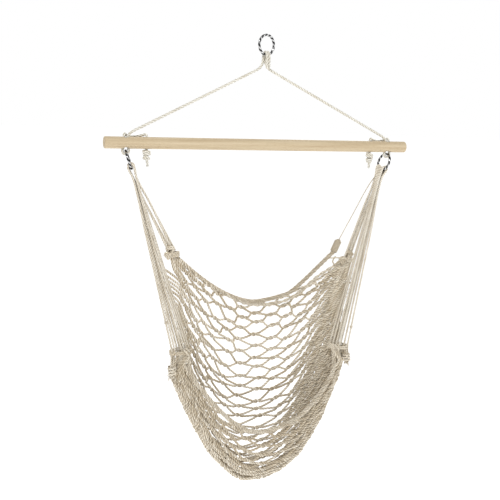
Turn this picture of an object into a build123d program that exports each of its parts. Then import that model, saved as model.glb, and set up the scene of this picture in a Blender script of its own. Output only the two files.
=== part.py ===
from build123d import *
import math
import os

# Rope hammock chair: a net seat slung from two steel rings under a wooden spreader bar,
# with one white rope from the bar up to a hook ring. Millimetres, +Z up.
# Origin: where a ceiling hook bears on the inside of the hook ring. +X runs along the bar
# to the sitter's left as seen from in front, and the front of the seat faces -Y.

# ---- driving dimensions -------------------------------------------------------------
WIRE_R = 3.0                    # wire of all three rings
HOOK_RING_R = 27.0              # ring radius to the middle of the wire
HOOK_RING_TURN = 20.6           # the hook ring's plane is turned this far from the bar
SEAT_RING_R = 25.0
RING_DROP = 5.2                 # bar's underside to the top wire's middle

BAR_LENGTH = 900.0
BAR_R = 16.0
BAR_Z = -297.0
BAR_EDGE = 3.0                  # rounding of the bar's ends
HOLE_OUT_X = 392.0              # holes that hold the seat rings
HOLE_OUT_R = 8.5
HOLE_MOUTH_R = 12.5             # flared mouth under the bar
HOLE_MOUTH_DEPTH = 10.0
HOLE_IN_X = 335.0               # holes for the rope's ends
HOLE_IN_R = 5.0

ROPE_R = 3.5                    # white suspension rope
ROPE_GAP = 3.9                  # half the spacing of the two passes in an outer hole
HITCH_Z = -82.0                 # crossbar of the lark's head hitch
HITCH_HALF = 4.0                # half the spacing of the hitch's two passes
HITCH_BEND_R = 8.0              # bend over the hook ring's wire

CORD_R = 2.75                   # cotton cord of the clews
EYE_BEND_R = 8.8                # bend of a clew eye over the ring's wire
EYE_LEG = 12.0                  # straight legs of an eye, below the wire
EYE_PITCH = 6.0
EYE_COUNT = 6
BACK_EYES = 2                   # the rearmost eyes' cords go to the back knot
BORDER_R = 5.5                  # braided border ropes
NET_THICK = 6.0
PANEL_X = [-238, -222, -195, -150, -100, -50, 0, 50, 100, 145, 185, 213, 229]
PANEL_V = (0.030, 0.975)         # stretch of the net between its border ropes
SECTION_POINTS = 10
CORD_GAP = 2.0                  # a slanting cord's end clears the knot or eye it meets
BORDER_GAP = 5.0                # and a thick border rope's end clears the tie

SEAT_SHIFT_Y = -49.0            # puts the seat's centre of mass under its rings

# Places of the knots and ties on each side: the sling hangs a little unevenly.
LEFT = dict(
    name="left", sign=-1, lean=19.5, twist=-14.5,
    back_knot=(-257.0, 54.0, -597.5),
    edge_fall=0.62,             # share of the edge where it reaches the front knot's level
    edge_ease=1.15,
    edge_lead=1.3,              # how soon it comes in under the clew cords
    tie=(-244.0, 2.0, -861.0),
    front_knot=(-268.0, 0.0, -914.0),
    edge_tie=0.84,
)
RIGHT = dict(
    name="right", sign=1, lean=18.6, twist=8.0,
    back_knot=(281.0, 54.0, -627.5),
    edge_fall=0.8,
    edge_ease=1.5,
    edge_lead=2.2,
    tie=(237.0, 2.0, -877.0),
    front_knot=(263.0, 0.0, -912.0),
    edge_tie=0.90,
)
TIE_SIZE = (62.0, 24.0, 16.0)
KNOT_SIZE = (24.0, 22.0, 36.0)
SLEEVE_LOW = (232.0, 52.0, -607.0)      # whipped end of the back border, on the right
SLEEVE_TOP = (248.0, 52.0, -572.0)
SLEEVE_R = 7.5
BORDER_LEAVES = 0.46             # the back border leaves the net here for its sleeve
BORDER_CORD_R = 1.7

# The seat's lowest line, from the back border to the front border: (y, z)
PROFILE = [(80, -749), (100, -880), (102, -1010), (88, -1130), (56, -1225),
           (12, -1258), (-24, -1205), (-38, -1100)]
LOW_X_BACK = -4.0               # x of the lowest point of the back border
LOW_X_FRONT = -30.0             # and of the front border


# ---- helpers ------------------------------------------------------------------------
def rod(start, end, radius, gap=0.0):
    """A straight round bar between two points, stopping short of both by the gap."""
    start = Vector(*start)
    axis = Vector(*end) - start
    way = axis.normalized()
    plane = Plane(origin=start + way * gap, z_dir=way)
    return extrude(plane * Circle(radius), axis.length - 2 * gap)


def tube(points, radius, radii=None):
    """A round tube along straight runs joined by tangent arcs."""
    points = [Vector(*p) for p in points]
    if radii is None:
        radii = []
        for before, here, after in zip(points, points[1:], points[2:]):
            turn = (here - before).get_angle(after - here)
            run = min((here - before).length, (after - here).length)
            radii.append(0.45 * run / math.tan(math.radians(turn / 2)))
    path = FilletPolyline(*points, radius=radii)
    start = Plane(origin=path @ 0, z_dir=path % 0)
    solid = sweep(start * Circle(radius), path=path)
    wanted = math.pi * radius**2 * path.length
    print(f"tube r {radius}: length {path.length:.0f}, volume/wanted "
          f"{solid.volume / wanted:.4f}, least radius {min(radii):.1f}")
    return solid


def lump(centre, size):
    """An egg-shaped knot body, flattened at both ends where cords meet it."""
    half = size[2] / 2
    waist = size[0] / 2
    cap = waist * 0.72
    outline = Polyline((0, -half), (cap, -half))
    side = ThreePointArc((cap, -half), (waist, 0), (cap, half))
    top = Polyline((cap, half), (0, half), (0, -half))
    face = make_face(Curve() + [outline, side, top])
    body = revolve(Plane.XZ * face, Axis.Z)
    body = scale(body, by=(1, size[1] / size[0], 1))
    return Pos(*centre) * body


def shifted(point):
    """The seat hangs with its centre of mass under the rings."""
    return (point[0], point[1] + SEAT_SHIFT_Y, point[2])


def save(shape, name):
    solids = shape.solids()
    if len(solids) == 1:
        shape = solids[0]
    shape.label = name
    export_step(shape, f"parts/{name}.step")


# ---- hook ring, bar and suspension rope ---------------------------------------------
def hook_ring():
    ring = Rot(90, 0, 0) * Torus(HOOK_RING_R, WIRE_R)
    return Pos(0, 0, WIRE_R - HOOK_RING_R) * (Rot(0, 0, HOOK_RING_TURN) * ring)


def spreader_bar():
    bar = Rot(0, 90, 0) * Cylinder(BAR_R, BAR_LENGTH)
    ends = bar.edges().filter_by(GeomType.CIRCLE)
    bar = Pos(0, 0, BAR_Z) * fillet(ends, BAR_EDGE)
    for sign in (-1, 1):
        bar -= Pos(sign * HOLE_OUT_X, 0, BAR_Z) * Cylinder(HOLE_OUT_R, 3 * BAR_R)
        mouth = Cone(HOLE_MOUTH_R, HOLE_OUT_R, HOLE_MOUTH_DEPTH)
        bar -= Pos(sign * HOLE_OUT_X, 0, BAR_Z - BAR_R + HOLE_MOUTH_DEPTH / 2) * mouth
        bar -= Pos(sign * HOLE_IN_X, 0, BAR_Z) * Cylinder(HOLE_IN_R, 3 * BAR_R)
    return bar


def rope_half(sign):
    """From the stopper knot over the bar, round a seat ring and up to the hitch."""
    top = BAR_Z + BAR_R
    under = BAR_Z - BAR_R
    wire = under - RING_DROP
    turn = math.radians(HOOK_RING_TURN)
    along = (math.cos(turn), math.sin(turn))
    ring_low = WIRE_R - 2 * HOOK_RING_R

    def hitch(depth, z):
        side = sign * HITCH_HALF
        return (side * along[0] - depth * along[1], side * along[1] + depth * along[0], z)

    def at(dx, y, z):
        return (sign * (HOLE_OUT_X + dx), y, z)

    points = [
        (sign * HOLE_IN_X, 0, under - 2),
        (sign * HOLE_IN_X, 0, top - 8),
        (sign * HOLE_IN_X, 1.0, top + 8.5),
        (sign * (HOLE_IN_X + 12), 9.5, top + 3.2),
        (sign * (HOLE_IN_X + 30), 15.5, top - 1.5),
        at(-7, 14.5, top + 0.5),
        at(4.5, 2.5, top + 10.8),
        at(ROPE_GAP, 0, top - 7),
        at(ROPE_GAP, 0, under + 8),
        at(9.4, 0, wire + 1.7),
        at(7.2, 0, wire - 8.8),
        at(-7.2, 0, wire - 8.8),
        at(-9.4, 0, wire + 1.7),
        at(-ROPE_GAP, 0, under + 8),
        at(-ROPE_GAP, 0, top + 7),
        hitch(HITCH_BEND_R, HITCH_Z - 2),
        hitch(HITCH_BEND_R, ring_low + HITCH_BEND_R),
        hitch(-HITCH_BEND_R, ring_low + HITCH_BEND_R),
        hitch(-HITCH_BEND_R, HITCH_Z),
    ]
    radii = [30, 4.5, 8, 40, 12, 5, 30, 12, 7, 7, 7, 7, 12, 11, 12, 7.9, 7.9]
    return tube(points, ROPE_R, radii)


def suspension_rope():
    """One rope from knot to knot; its middle is the crossbar of the hitch."""
    turn = math.radians(HOOK_RING_TURN)
    front = (HITCH_BEND_R * math.sin(turn), -HITCH_BEND_R * math.cos(turn), HITCH_Z)
    bight = Rot(90, 0, 0) * Torus(HITCH_HALF, ROPE_R)
    bight = split(bight, bisect_by=Plane.XY, keep=Keep.BOTTOM)
    bight = Pos(*front) * (Rot(0, 0, HOOK_RING_TURN) * bight)
    return rope_half(-1) + bight + rope_half(1)


def stopper_knot(sign):
    """Overhand knot under the bar, drawn as two bulges, with its cut tail."""
    low = 28.0
    outline = Curve() + [
        Line((0, 0), (ROPE_R, 0)),
        ThreePointArc((ROPE_R, 0), (10.5, -8.5), (7.0, -17)),
        ThreePointArc((7.0, -17), (9.0, -22.5), (ROPE_R, -low)),
        Polyline((ROPE_R, -low), (0, -low), (0, 0)),
    ]
    knot = revolve(Plane.XZ * make_face(outline), Axis.Z)
    knot += rod((0, 0, -low + 2), (sign * -2, -3, -low - 13), ROPE_R - 0.2)
    return Pos(sign * HOLE_IN_X, 0, BAR_Z - BAR_R - 2) * knot


# ---- seat rings and clews -----------------------------------------------------------
def ring_frame(side):
    """Top wire's middle, with z along the pull of the clew and y fore and aft."""
    lean = side["sign"] * side["lean"]
    place = Pos(side["sign"] * HOLE_OUT_X, 0, BAR_Z - BAR_R - RING_DROP)
    return place * Rot(0, lean, 0) * Rot(0, 0, side["twist"])


def ring_point(side, x, y, z):
    """A point of the ring's own frame, in the row's frame; z is down the clew."""
    place = ring_frame(side) * Pos(x, y, -z)
    return tuple(place.position)


def seat_ring(side):
    ring = Rot(0, 90, 0) * Torus(SEAT_RING_R, WIRE_R)
    return ring_frame(side) * Pos(0, 0, -SEAT_RING_R) * ring


def eye_offsets():
    """Fore-and-aft place of each eye on the ring's wire, front first, and its lift."""
    rows = []
    for i in range(EYE_COUNT):
        y = (i - (EYE_COUNT - 1) / 2) * EYE_PITCH
        rows.append((y, SEAT_RING_R - math.sqrt(SEAT_RING_R**2 - y**2)))
    return rows


def clew_eyes(side):
    """Each clew cord is doubled over the ring: one stirrup for each pair of cords."""
    eyes = []
    for y, lift in eye_offsets():
        bend = Rot(90, 0, 0) * Torus(EYE_BEND_R, CORD_R)
        bend = split(bend, bisect_by=Plane.XY, keep=Keep.TOP)
        eye = Pos(0, y, lift - 2 * SEAT_RING_R) * bend
        for x in (-EYE_BEND_R, EYE_BEND_R):
            leg = rod((x, y, lift - 2 * SEAT_RING_R), (x, y, -2 * SEAT_RING_R - EYE_LEG), CORD_R)
            eye += leg
        eyes.append(ring_frame(side) * eye)
    return Compound(children=[e.solids()[0] for e in eyes])


def cord_line(side, i, outer):
    """Ends of one clew cord: from eye i to the seat tie, or to the back knot."""
    y, lift = eye_offsets()[i]
    front_eyes = EYE_COUNT - BACK_EYES
    x = side["sign"] * (EYE_BEND_R if outer else -EYE_BEND_R)
    start = ring_point(side, x, y, 2 * SEAT_RING_R + EYE_LEG)
    if i < front_eyes:
        tie = side["tie"]
        spread = (2.0 if outer else -26.0) + 8.0 * (front_eyes - 1 - i)
        end = (tie[0] + side["sign"] * spread, tie[1] + 5.0 * (i - 1.5),
               tie[2] + TIE_SIZE[2] / 2)
    else:
        knot = side["back_knot"]
        end = (knot[0] + side["sign"] * (4.0 if outer else -4.0),
               knot[1] + 7.0 * (i - front_eyes - 0.5), knot[2] + KNOT_SIZE[2] / 2)
    return start, shifted(end)


def clew_cords(side):
    """Straight cords from the eyes to the back knot or to the seat tie."""
    cords = []
    for i in range(EYE_COUNT):
        for outer in (True, False):
            start, end = cord_line(side, i, outer)
            cords.append(rod(start, end, CORD_R, CORD_GAP))
    return cords


# ---- knots, ties and borders --------------------------------------------------------
def seat_tie(side):
    """Cord wrapped round the clew cords and the front border's end."""
    length, depth, height = TIE_SIZE
    block = extrude(SlotOverall(length, depth), height / 2, both=True)
    edges = block.edges().group_by(Axis.Z)
    block = fillet(edges[0] + edges[-1], 4)
    return Pos(*shifted(side["tie"])) * block


def side_rope(side):
    """Four short cords between the seat tie and the front corner knot."""
    tie = side["tie"]
    knot = side["front_knot"]
    low = tie[2] - TIE_SIZE[2] / 2
    cords = []
    for dx, dy in ((-4, -4), (4, -4), (-4, 4), (4, 4)):
        top = (knot[0] + 1.3 * dx - side["sign"] * 4, tie[1] + dy, low)
        end = (knot[0] + dx, knot[1] + dy, knot[2] + KNOT_SIZE[2] / 2)
        cords.append(rod(shifted(top), shifted(end), CORD_R, CORD_GAP))
    return Compound(children=[c.solids()[0] for c in cords])


def edge_tie(side):
    """Small tie on the outermost clew cord, part way down the net's side."""
    start, end = (Vector(*p) for p in cord_line(side, 0, True))
    way = (end - start).normalized()
    rings = []
    for i in range(2):
        place = start + (end - start) * side["edge_tie"] + way * (2.2 * i)
        ring = Plane(origin=place, z_dir=way) * Torus(CORD_R + 1.2, 1.0)
        rings.append(ring.solids()[0])
    return Compound(children=rings)


def mix(a, b, t):
    return a + (b - a) * t


def side_line(side, v):
    """Net's side edge, v from 0 at the back knot to 1 at the front border's end."""
    knot = side["back_knot"]
    tie = side["tie"]
    sign = side["sign"]
    front = side["front_knot"]
    down = min(v / side["edge_fall"], 1.0) ** side["edge_ease"]
    up = max((v - 0.8) / 0.2, 0.0)
    x = mix(knot[0] - sign * 14, tie[0] - sign * 4, min(down * side["edge_lead"], 1.0))
    x = mix(x, front[0] + sign * 6, min(max((v - 0.42) / 0.36, 0.0), 1.0))
    x = mix(x, tie[0] + sign * 4, up)
    y = mix(knot[1] - 4, 22.0, down) - 38.0 * up
    z = mix(knot[2] - 12, front[2] + 6, down)
    z = mix(z, tie[2] - TIE_SIZE[2] / 2 - 12, up)
    return x, y, z


def profile_point(v):
    path = Spline(*[(0, y, z) for y, z in PROFILE])
    point = path @ v
    return point.Y, point.Z


def steepness(u, v):
    """How sharply the net's ropes rise toward a side: low values hang like a V."""
    crowd = math.sin(math.pi * min(max((v - 0.08) / 0.6, 0.0), 1.0)) ** 2
    if u < 0:
        return 1.6 + 1.6 * v * (1 - v)
    return 2.6 - 0.8 * math.exp(-v / 0.06) + 0.22 * v * (1 - v) + 0.5 * crowd


def net_point(u, v):
    """Middle surface of the net: u from -1 at the left to 1 at the right."""
    side = LEFT if u < 0 else RIGHT
    x_side, y_side, z_side = side_line(side, v)
    y_low, z_low = profile_point(v)
    x_low = mix(LOW_X_BACK, LOW_X_FRONT, v)
    steep = steepness(u, v)
    t = abs(u)
    return (mix(x_low, x_side, t), mix(y_low, y_side, t**2.0), mix(z_low, z_side, t**steep))


def net_section(x):
    """Inner line of the net's cross-section at one place along the bar: (y, z) points."""
    points = []
    for j in range(SECTION_POINTS):
        v = mix(PANEL_V[0], PANEL_V[1], j / (SECTION_POINTS - 1))
        x_low = mix(LOW_X_BACK, LOW_X_FRONT, v)
        side = LEFT if x < x_low else RIGHT
        t = (x - x_low) / (side_line(side, v)[0] - x_low)
        point = net_point(-t if side is LEFT else t, v)
        points.append((point[1] + SEAT_SHIFT_Y, point[2]))
    return points


def net_panel():
    """The net as one thin curved sheet, with clearance from its border ropes."""
    sections = []
    for x in PANEL_X:
        inner = net_section(x)
        outer = []
        for before, here, after in zip([inner[0]] + inner, inner, inner[1:] + [inner[-1]]):
            dy = after[0] - before[0]
            dz = after[1] - before[1]
            run = math.hypot(dy, dz)
            outer.append((here[0] - NET_THICK * dz / run, here[1] + NET_THICK * dy / run))
        loop = Curve() + [
            Spline(*inner),
            Line(inner[-1], outer[-1]),
            Spline(*reversed(outer)),
            Line(outer[0], inner[0]),
        ]
        plane = Plane(origin=(x, 0, 0), x_dir=(0, 1, 0), z_dir=(1, 0, 0))
        sections.append(plane * make_face(loop))
    return loft(sections)


def border_rope(v, start, end, last=0.8):
    points = [start]
    for i in range(9):
        points.append(net_point(mix(-0.8, last, i / 8), v))
    points.append(end)
    return tube([shifted(p) for p in points], BORDER_R)


def back_border():
    knot = LEFT["back_knot"]
    start = (knot[0] + 16, knot[1] + 2, knot[2] - 7)
    end = (SLEEVE_LOW[0] - 3, SLEEVE_LOW[1], SLEEVE_LOW[2] - 4)
    return border_rope(0.0, start, end, BORDER_LEAVES)


def front_border():
    left = LEFT["tie"]
    right = RIGHT["tie"]
    start = (left[0] + 10, left[1] - 6, left[2] - TIE_SIZE[2] / 2 - BORDER_GAP)
    end = (right[0] - 14, right[1] - 6, right[2] - TIE_SIZE[2] / 2 - BORDER_GAP)
    return border_rope(1.0, start, end)


def border_end_sleeve():
    return rod(shifted(SLEEVE_LOW), shifted(SLEEVE_TOP), SLEEVE_R)


def border_cord():
    """Thin cord from the whipped border end up towards the ring."""
    top = ring_point(RIGHT, -EYE_BEND_R - 9, 12, 2 * SEAT_RING_R + EYE_LEG + 45)
    return rod(shifted(SLEEVE_TOP), top, BORDER_CORD_R, CORD_GAP)


def main():
    os.makedirs("parts", exist_ok=True)
    save(hook_ring(), "hook_ring")
    save(spreader_bar(), "spreader_bar")
    save(suspension_rope(), "suspension_rope")
    for side in (LEFT, RIGHT):
        name = side["name"]
        save(stopper_knot(side["sign"]), f"stopper_knot_{name}")
        save(seat_ring(side), f"seat_ring_{name}")
        save(clew_eyes(side), f"clew_eyes_{name}")
        for i, cord in enumerate(clew_cords(side)):
            save(cord, f"clew_cord_{name}_{i + 1:02d}")
        save(lump(shifted(side["back_knot"]), KNOT_SIZE), f"back_knot_{name}")
        save(lump(shifted(side["front_knot"]), KNOT_SIZE), f"front_knot_{name}")
        save(seat_tie(side), f"seat_tie_{name}")
        save(side_rope(side), f"side_rope_{name}")
        save(edge_tie(side), f"edge_tie_{name}")
    save(back_border(), "back_border_rope")
    save(front_border(), "front_border_rope")
    save(border_end_sleeve(), "border_end_sleeve")
    save(border_cord(), "border_cord")
    save(net_panel(), "net_panel")


main()
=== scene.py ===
import math

import bpy
import numpy as np
from mathutils import Matrix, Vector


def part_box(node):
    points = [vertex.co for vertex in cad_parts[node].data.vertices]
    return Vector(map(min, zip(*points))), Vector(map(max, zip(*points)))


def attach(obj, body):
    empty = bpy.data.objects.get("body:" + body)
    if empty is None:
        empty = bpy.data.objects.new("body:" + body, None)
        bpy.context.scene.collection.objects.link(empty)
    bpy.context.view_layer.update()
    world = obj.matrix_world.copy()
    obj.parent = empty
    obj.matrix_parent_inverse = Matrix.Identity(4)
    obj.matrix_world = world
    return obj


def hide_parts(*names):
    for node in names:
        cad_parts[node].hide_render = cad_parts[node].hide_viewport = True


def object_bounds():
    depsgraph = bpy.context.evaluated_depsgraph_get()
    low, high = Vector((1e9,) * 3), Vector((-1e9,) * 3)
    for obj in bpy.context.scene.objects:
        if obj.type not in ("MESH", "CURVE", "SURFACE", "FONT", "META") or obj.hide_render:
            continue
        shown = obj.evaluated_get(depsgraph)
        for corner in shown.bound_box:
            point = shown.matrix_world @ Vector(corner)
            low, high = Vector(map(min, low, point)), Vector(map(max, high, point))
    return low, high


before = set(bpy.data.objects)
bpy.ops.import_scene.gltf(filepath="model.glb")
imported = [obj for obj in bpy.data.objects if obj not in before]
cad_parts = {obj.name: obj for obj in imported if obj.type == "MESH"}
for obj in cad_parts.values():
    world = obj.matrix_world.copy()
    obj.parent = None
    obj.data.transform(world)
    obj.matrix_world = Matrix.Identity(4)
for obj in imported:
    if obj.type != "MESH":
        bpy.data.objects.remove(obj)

CAD_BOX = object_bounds()
MM = 0.001
RNG = np.random.default_rng(11)

# ---- driving dimensions, metres --------------------------------------------------------
WIRE_R = 3.0 * MM
HOOK_RING_R = 27.0 * MM
HOOK_RING_TURN = math.radians(20.6)
SEAT_RING_R = 25.0 * MM
BAR_Z = -297.0 * MM
BAR_R = 16.0 * MM
HOLE_OUT_X = 392.0 * MM
HOLE_IN_X = 335.0 * MM
RING_TOP_Z = BAR_Z - BAR_R - 5.2 * MM
ROPE_D = 7.0 * MM
ROPE_FULL_D = 7.8 * MM         # over the crests of its three strands
CORD_D = 5.5 * MM
CLEW_D = 6.0 * MM
NET_D = 7.0 * MM
EYE_BEND_R = 7.9 * MM           # of a clew cord's middle line, round the seat ring's wire
EYE_PITCH = 6.0 * MM
SEAT_SHIFT_Y = -49.0 * MM       # puts the seat's centre of mass under its rings

# What differs between the sides: the sling hangs a little unevenly. Along the seat's edge v runs
# from 0 at the back knot to 1 at the front border. Net ropes below to_knot end at the back knot,
# the next ones up to to_cords end on the clew cords, and the rest at the front knot or the tie.
LEFT = dict(
    name="left", sign=-1, lean=math.radians(19.5), twist=math.radians(-14.5),
    edge_fall=0.62,             # share of the edge where it reaches the front knot's level
    edge_ease=1.15,
    edge_lead=1.3,              # how soon the edge comes in under the clew cords
    to_knot=0.15, to_cords=0.50,
    knot_reach=12.0 * MM,       # ropes meet the back knot this far toward the seat
    cord_lift=30.0 * MM,        # the last rope on the clew cords ends this far over the tie
    lump_x=-15.0 * MM,          # place of the back knot's second lump beside its centre
)
RIGHT = dict(
    name="right", sign=1, lean=math.radians(18.6), twist=math.radians(8.0),
    edge_fall=0.8,
    edge_ease=1.5,
    edge_lead=2.2,
    to_knot=0.36, to_cords=0.66,
    knot_reach=25.0 * MM,
    cord_lift=60.0 * MM,
    lump_x=-21.0 * MM,
)
CLEW_CORDS = 6
FRONT_CLEW_CORDS = 4            # of them, the ones that go to the seat tie
# Lower ends of the legs at the back knot, beside its centre: outer legs, then inner ones.
BACK_LEGS = {
    "left": {True: (-13.0 * MM, -4.0 * MM), False: (-1.0 * MM, 8.0 * MM)},
    "right": {True: (1.6 * MM, 10.6 * MM), False: (-10.6 * MM, -1.6 * MM)},
}


def node_centre(name):
    lo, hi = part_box(name)
    return (np.array(lo) + np.array(hi)) / 2


for _side in (LEFT, RIGHT):
    for _key in ("back_knot", "seat_tie", "front_knot"):
        _side[_key] = node_centre(f"{_key}_{_side['name']}")


# ---- vectors and paths -----------------------------------------------------------------
def unit(v):
    v = np.asarray(v, float)
    return v / np.linalg.norm(v, axis=-1, keepdims=True)


def mix(a, b, t):
    return a + (b - a) * t


def catmull(points, per=10):
    """Smooth dense line through the points (centripetal Catmull-Rom)."""
    p = np.asarray(points, float)
    p = np.vstack([2 * p[0] - p[1], p, 2 * p[-1] - p[-2]])
    knots = np.concatenate([[0], np.cumsum(np.sqrt(np.linalg.norm(np.diff(p, axis=0), axis=1)) + 1e-9)])
    out = []
    for i in range(1, len(p) - 2):
        t0, t1, t2, t3 = knots[i - 1:i + 3]
        t = np.linspace(t1, t2, per, endpoint=False)[:, None]
        a1 = (t1 - t) / (t1 - t0) * p[i - 1] + (t - t0) / (t1 - t0) * p[i]
        a2 = (t2 - t) / (t2 - t1) * p[i] + (t - t1) / (t2 - t1) * p[i + 1]
        a3 = (t3 - t) / (t3 - t2) * p[i + 1] + (t - t2) / (t3 - t2) * p[i + 2]
        b1 = (t2 - t) / (t2 - t0) * a1 + (t - t0) / (t2 - t0) * a2
        b2 = (t3 - t) / (t3 - t1) * a2 + (t - t1) / (t3 - t1) * a3
        out.append((t2 - t) / (t2 - t1) * b1 + (t - t1) / (t2 - t1) * b2)
    out.append(p[-2][None, :])
    return np.vstack(out)


def arc_lengths(path):
    return np.concatenate([[0], np.cumsum(np.linalg.norm(np.diff(path, axis=0), axis=1))])


def along(path, s):
    """Points of the path at the arc lengths s."""
    lengths = arc_lengths(path)
    return np.stack([np.interp(s, lengths, path[:, k]) for k in range(3)], axis=1)


def resample(path, step):
    total = arc_lengths(path)[-1]
    return along(path, np.linspace(0, total, max(4, int(round(total / step)) + 1)))


def frames(path):
    """Two normals carried along the path without twisting."""
    tangent = unit(np.gradient(path, axis=0))
    n = np.empty_like(path)
    helper = np.array([0.0, 0.0, 1.0]) if abs(tangent[0][2]) < 0.9 else np.array([0.0, 1.0, 0.0])
    n[0] = unit(np.cross(tangent[0], helper))
    for i in range(1, len(path)):
        v = n[i - 1] - tangent[i] * np.dot(n[i - 1], tangent[i])
        n[i] = v / math.sqrt(np.dot(v, v))
    return n, np.cross(tangent, n)


# ---- twisted cord meshes ---------------------------------------------------------------
# One strand's outline as angle and share of the radius; three of them make a cord.
LOBE_9 = [(0, 0.66), (36, 0.99), (84, 0.99)]
LOBE_12 = [(0, 0.66), (26, 0.93), (60, 1.0), (94, 0.93)]
STRANDS = 3
LAY_PITCH = 4.0                 # one turn of a strand takes this many cord diameters
ROWS_PER_TURN = 8.5
CREST_SHARE = 0.8               # outline points past this share of the radius are on a crest


def add_piece(name, mesh, material, body, slot, *nodes):
    """Puts a mesh in the scene, riding on a body, in place of the frame's nodes."""
    mesh.polygons.foreach_set("use_smooth", [True] * len(mesh.polygons))
    mesh.materials.append(material)
    mesh.update()
    piece = bpy.data.objects.new(name, mesh)
    bpy.context.scene.collection.objects.link(piece)
    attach(piece, body)
    if nodes:
        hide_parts(*nodes)
    return piece


def point_values(mesh, name, values):
    layer = mesh.attributes.new(name, "FLOAT", "POINT")
    layer.data.foreach_set("value", np.asarray(values, np.float32))


class Cordage:
    """Collects twisted three-strand cords into one mesh."""

    def __init__(self):
        self.verts = []
        self.faces = []
        self.groove_shade = []
        self.tone = []
        self.count = 0

    def add(self, path, diameter, lobe=LOBE_9, step=None, taper=0.0):
        """A cord along the path, laid from three strands; taper thins it to its end."""
        radius = diameter / 2
        pitch = diameter * LAY_PITCH
        path = resample(np.asarray(path, float), step or pitch / ROWS_PER_TURN)
        count = len(path)
        profile = [(math.radians(360 / STRANDS * k + a), r) for k in range(STRANDS) for a, r in lobe]
        angle = np.array([a for a, _ in profile])
        reach = np.array([r for _, r in profile]) * radius
        lengths = arc_lengths(path)
        phase = RNG.uniform(0, 2 * math.pi)
        turn = angle[None, :] + phase + 2 * math.pi * lengths[:, None] / pitch
        n, b = frames(path)
        scale = np.ones(count)
        if taper:
            scale = 1 - taper * (lengths / lengths[-1]) ** 2
        ring = reach[None, :] * scale[:, None]
        ring = np.broadcast_to(ring, turn.shape)
        points = (path[:, None, :] + (ring * np.cos(turn))[..., None] * n[:, None, :]
                  + (ring * np.sin(turn))[..., None] * b[:, None, :])
        m = len(profile)
        index = self.count + np.arange(count * m).reshape(count, m)
        here = index[:-1, :]
        ahead = index[1:, :]
        corners = [here, np.roll(here, -1, 1), np.roll(ahead, -1, 1), ahead]
        quads = np.stack(corners, axis=-1).reshape(-1, 4)
        self.faces.extend(quads.tolist())
        self.faces.append(index[0, ::-1].tolist())
        self.faces.append(index[-1, :].tolist())
        self.verts.append(points.reshape(-1, 3))
        # 1 on a strand's crest, 0 between strands: the materials paint shade between the strands where it
        # is 0.
        height = np.array([float(r >= CREST_SHARE) for _, r in profile])
        self.groove_shade.append(np.tile(height, count))
        self.tone.append(np.full(count * m, RNG.uniform(0, 1)))
        self.count += count * m

    def build(self, name, material, body, slot, *nodes):
        mesh = bpy.data.meshes.new(name)
        mesh.from_pydata(np.vstack(self.verts).tolist(), [], self.faces)
        point_values(mesh, "groove_shade", np.concatenate(self.groove_shade))
        point_values(mesh, "tone", np.concatenate(self.tone))
        return add_piece(name, mesh, material, body, slot, *nodes)


COIL_STEPS = 16                 # points in one turn of a coil


def helix(centre, axis, half_a, half_b, turns, length, start=0.0):
    """A coil about an axis; the two half widths make it round or oval."""
    axis = unit(axis)
    across = np.array([1.0, 0, 0])
    a = unit(across - axis * np.dot(across, axis))
    b = np.cross(axis, a)
    t = np.linspace(0, 1, int(turns * COIL_STEPS) + 1)
    angle = start + 2 * math.pi * turns * t
    return (np.asarray(centre) + np.outer((t - 0.5) * length, axis)
            + np.outer(np.cos(angle) * half_a, a) + np.outer(np.sin(angle) * half_b, b))


# ---- materials -------------------------------------------------------------------------
def new_material(name):
    material = bpy.data.materials.new(name)
    material.use_nodes = True
    nodes = material.node_tree.nodes
    links = material.node_tree.links
    shader = nodes["Principled BSDF"]
    return material, nodes, links, shader


def ramp(nodes, stops):
    node = nodes.new("ShaderNodeValToRGB")
    while len(node.color_ramp.elements) < len(stops):
        node.color_ramp.elements.new(0.5)
    for element, (place, colour) in zip(node.color_ramp.elements, stops):
        element.position = place
        element.color = (*colour, 1)
    return node


def noise(nodes, links, vector, scale, detail):
    node = nodes.new("ShaderNodeTexNoise")
    node.inputs["Scale"].default_value = scale
    node.inputs["Detail"].default_value = detail
    links.new(vector, node.inputs["Vector"])
    return node


def stretched(nodes, links, vector, scale):
    node = nodes.new("ShaderNodeMapping")
    node.inputs["Scale"].default_value = scale
    links.new(vector, node.inputs["Vector"])
    return node.outputs["Vector"]


def coloured(nodes, links, value, stops):
    """The value turned to a colour by a ramp through the stops."""
    node = ramp(nodes, stops)
    links.new(value, node.inputs["Fac"])
    return node.outputs["Color"]


def attribute(nodes, name):
    node = nodes.new("ShaderNodeAttribute")
    node.attribute_name = name
    return node.outputs["Fac"]


def multiplied(nodes, links, factor, one, other):
    node = nodes.new("ShaderNodeMix")
    node.data_type = "RGBA"
    node.blend_type = "MULTIPLY"
    node.inputs["Factor"].default_value = factor
    links.new(one, node.inputs["A"])
    links.new(other, node.inputs["B"])
    return node.outputs["Result"]


def add_bump(nodes, links, shader, height, strength, distance):
    node = nodes.new("ShaderNodeBump")
    node.inputs["Strength"].default_value = strength
    node.inputs["Distance"].default_value = distance
    links.new(height, node.inputs["Height"])
    links.new(node.outputs["Normal"], shader.inputs["Normal"])


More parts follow.
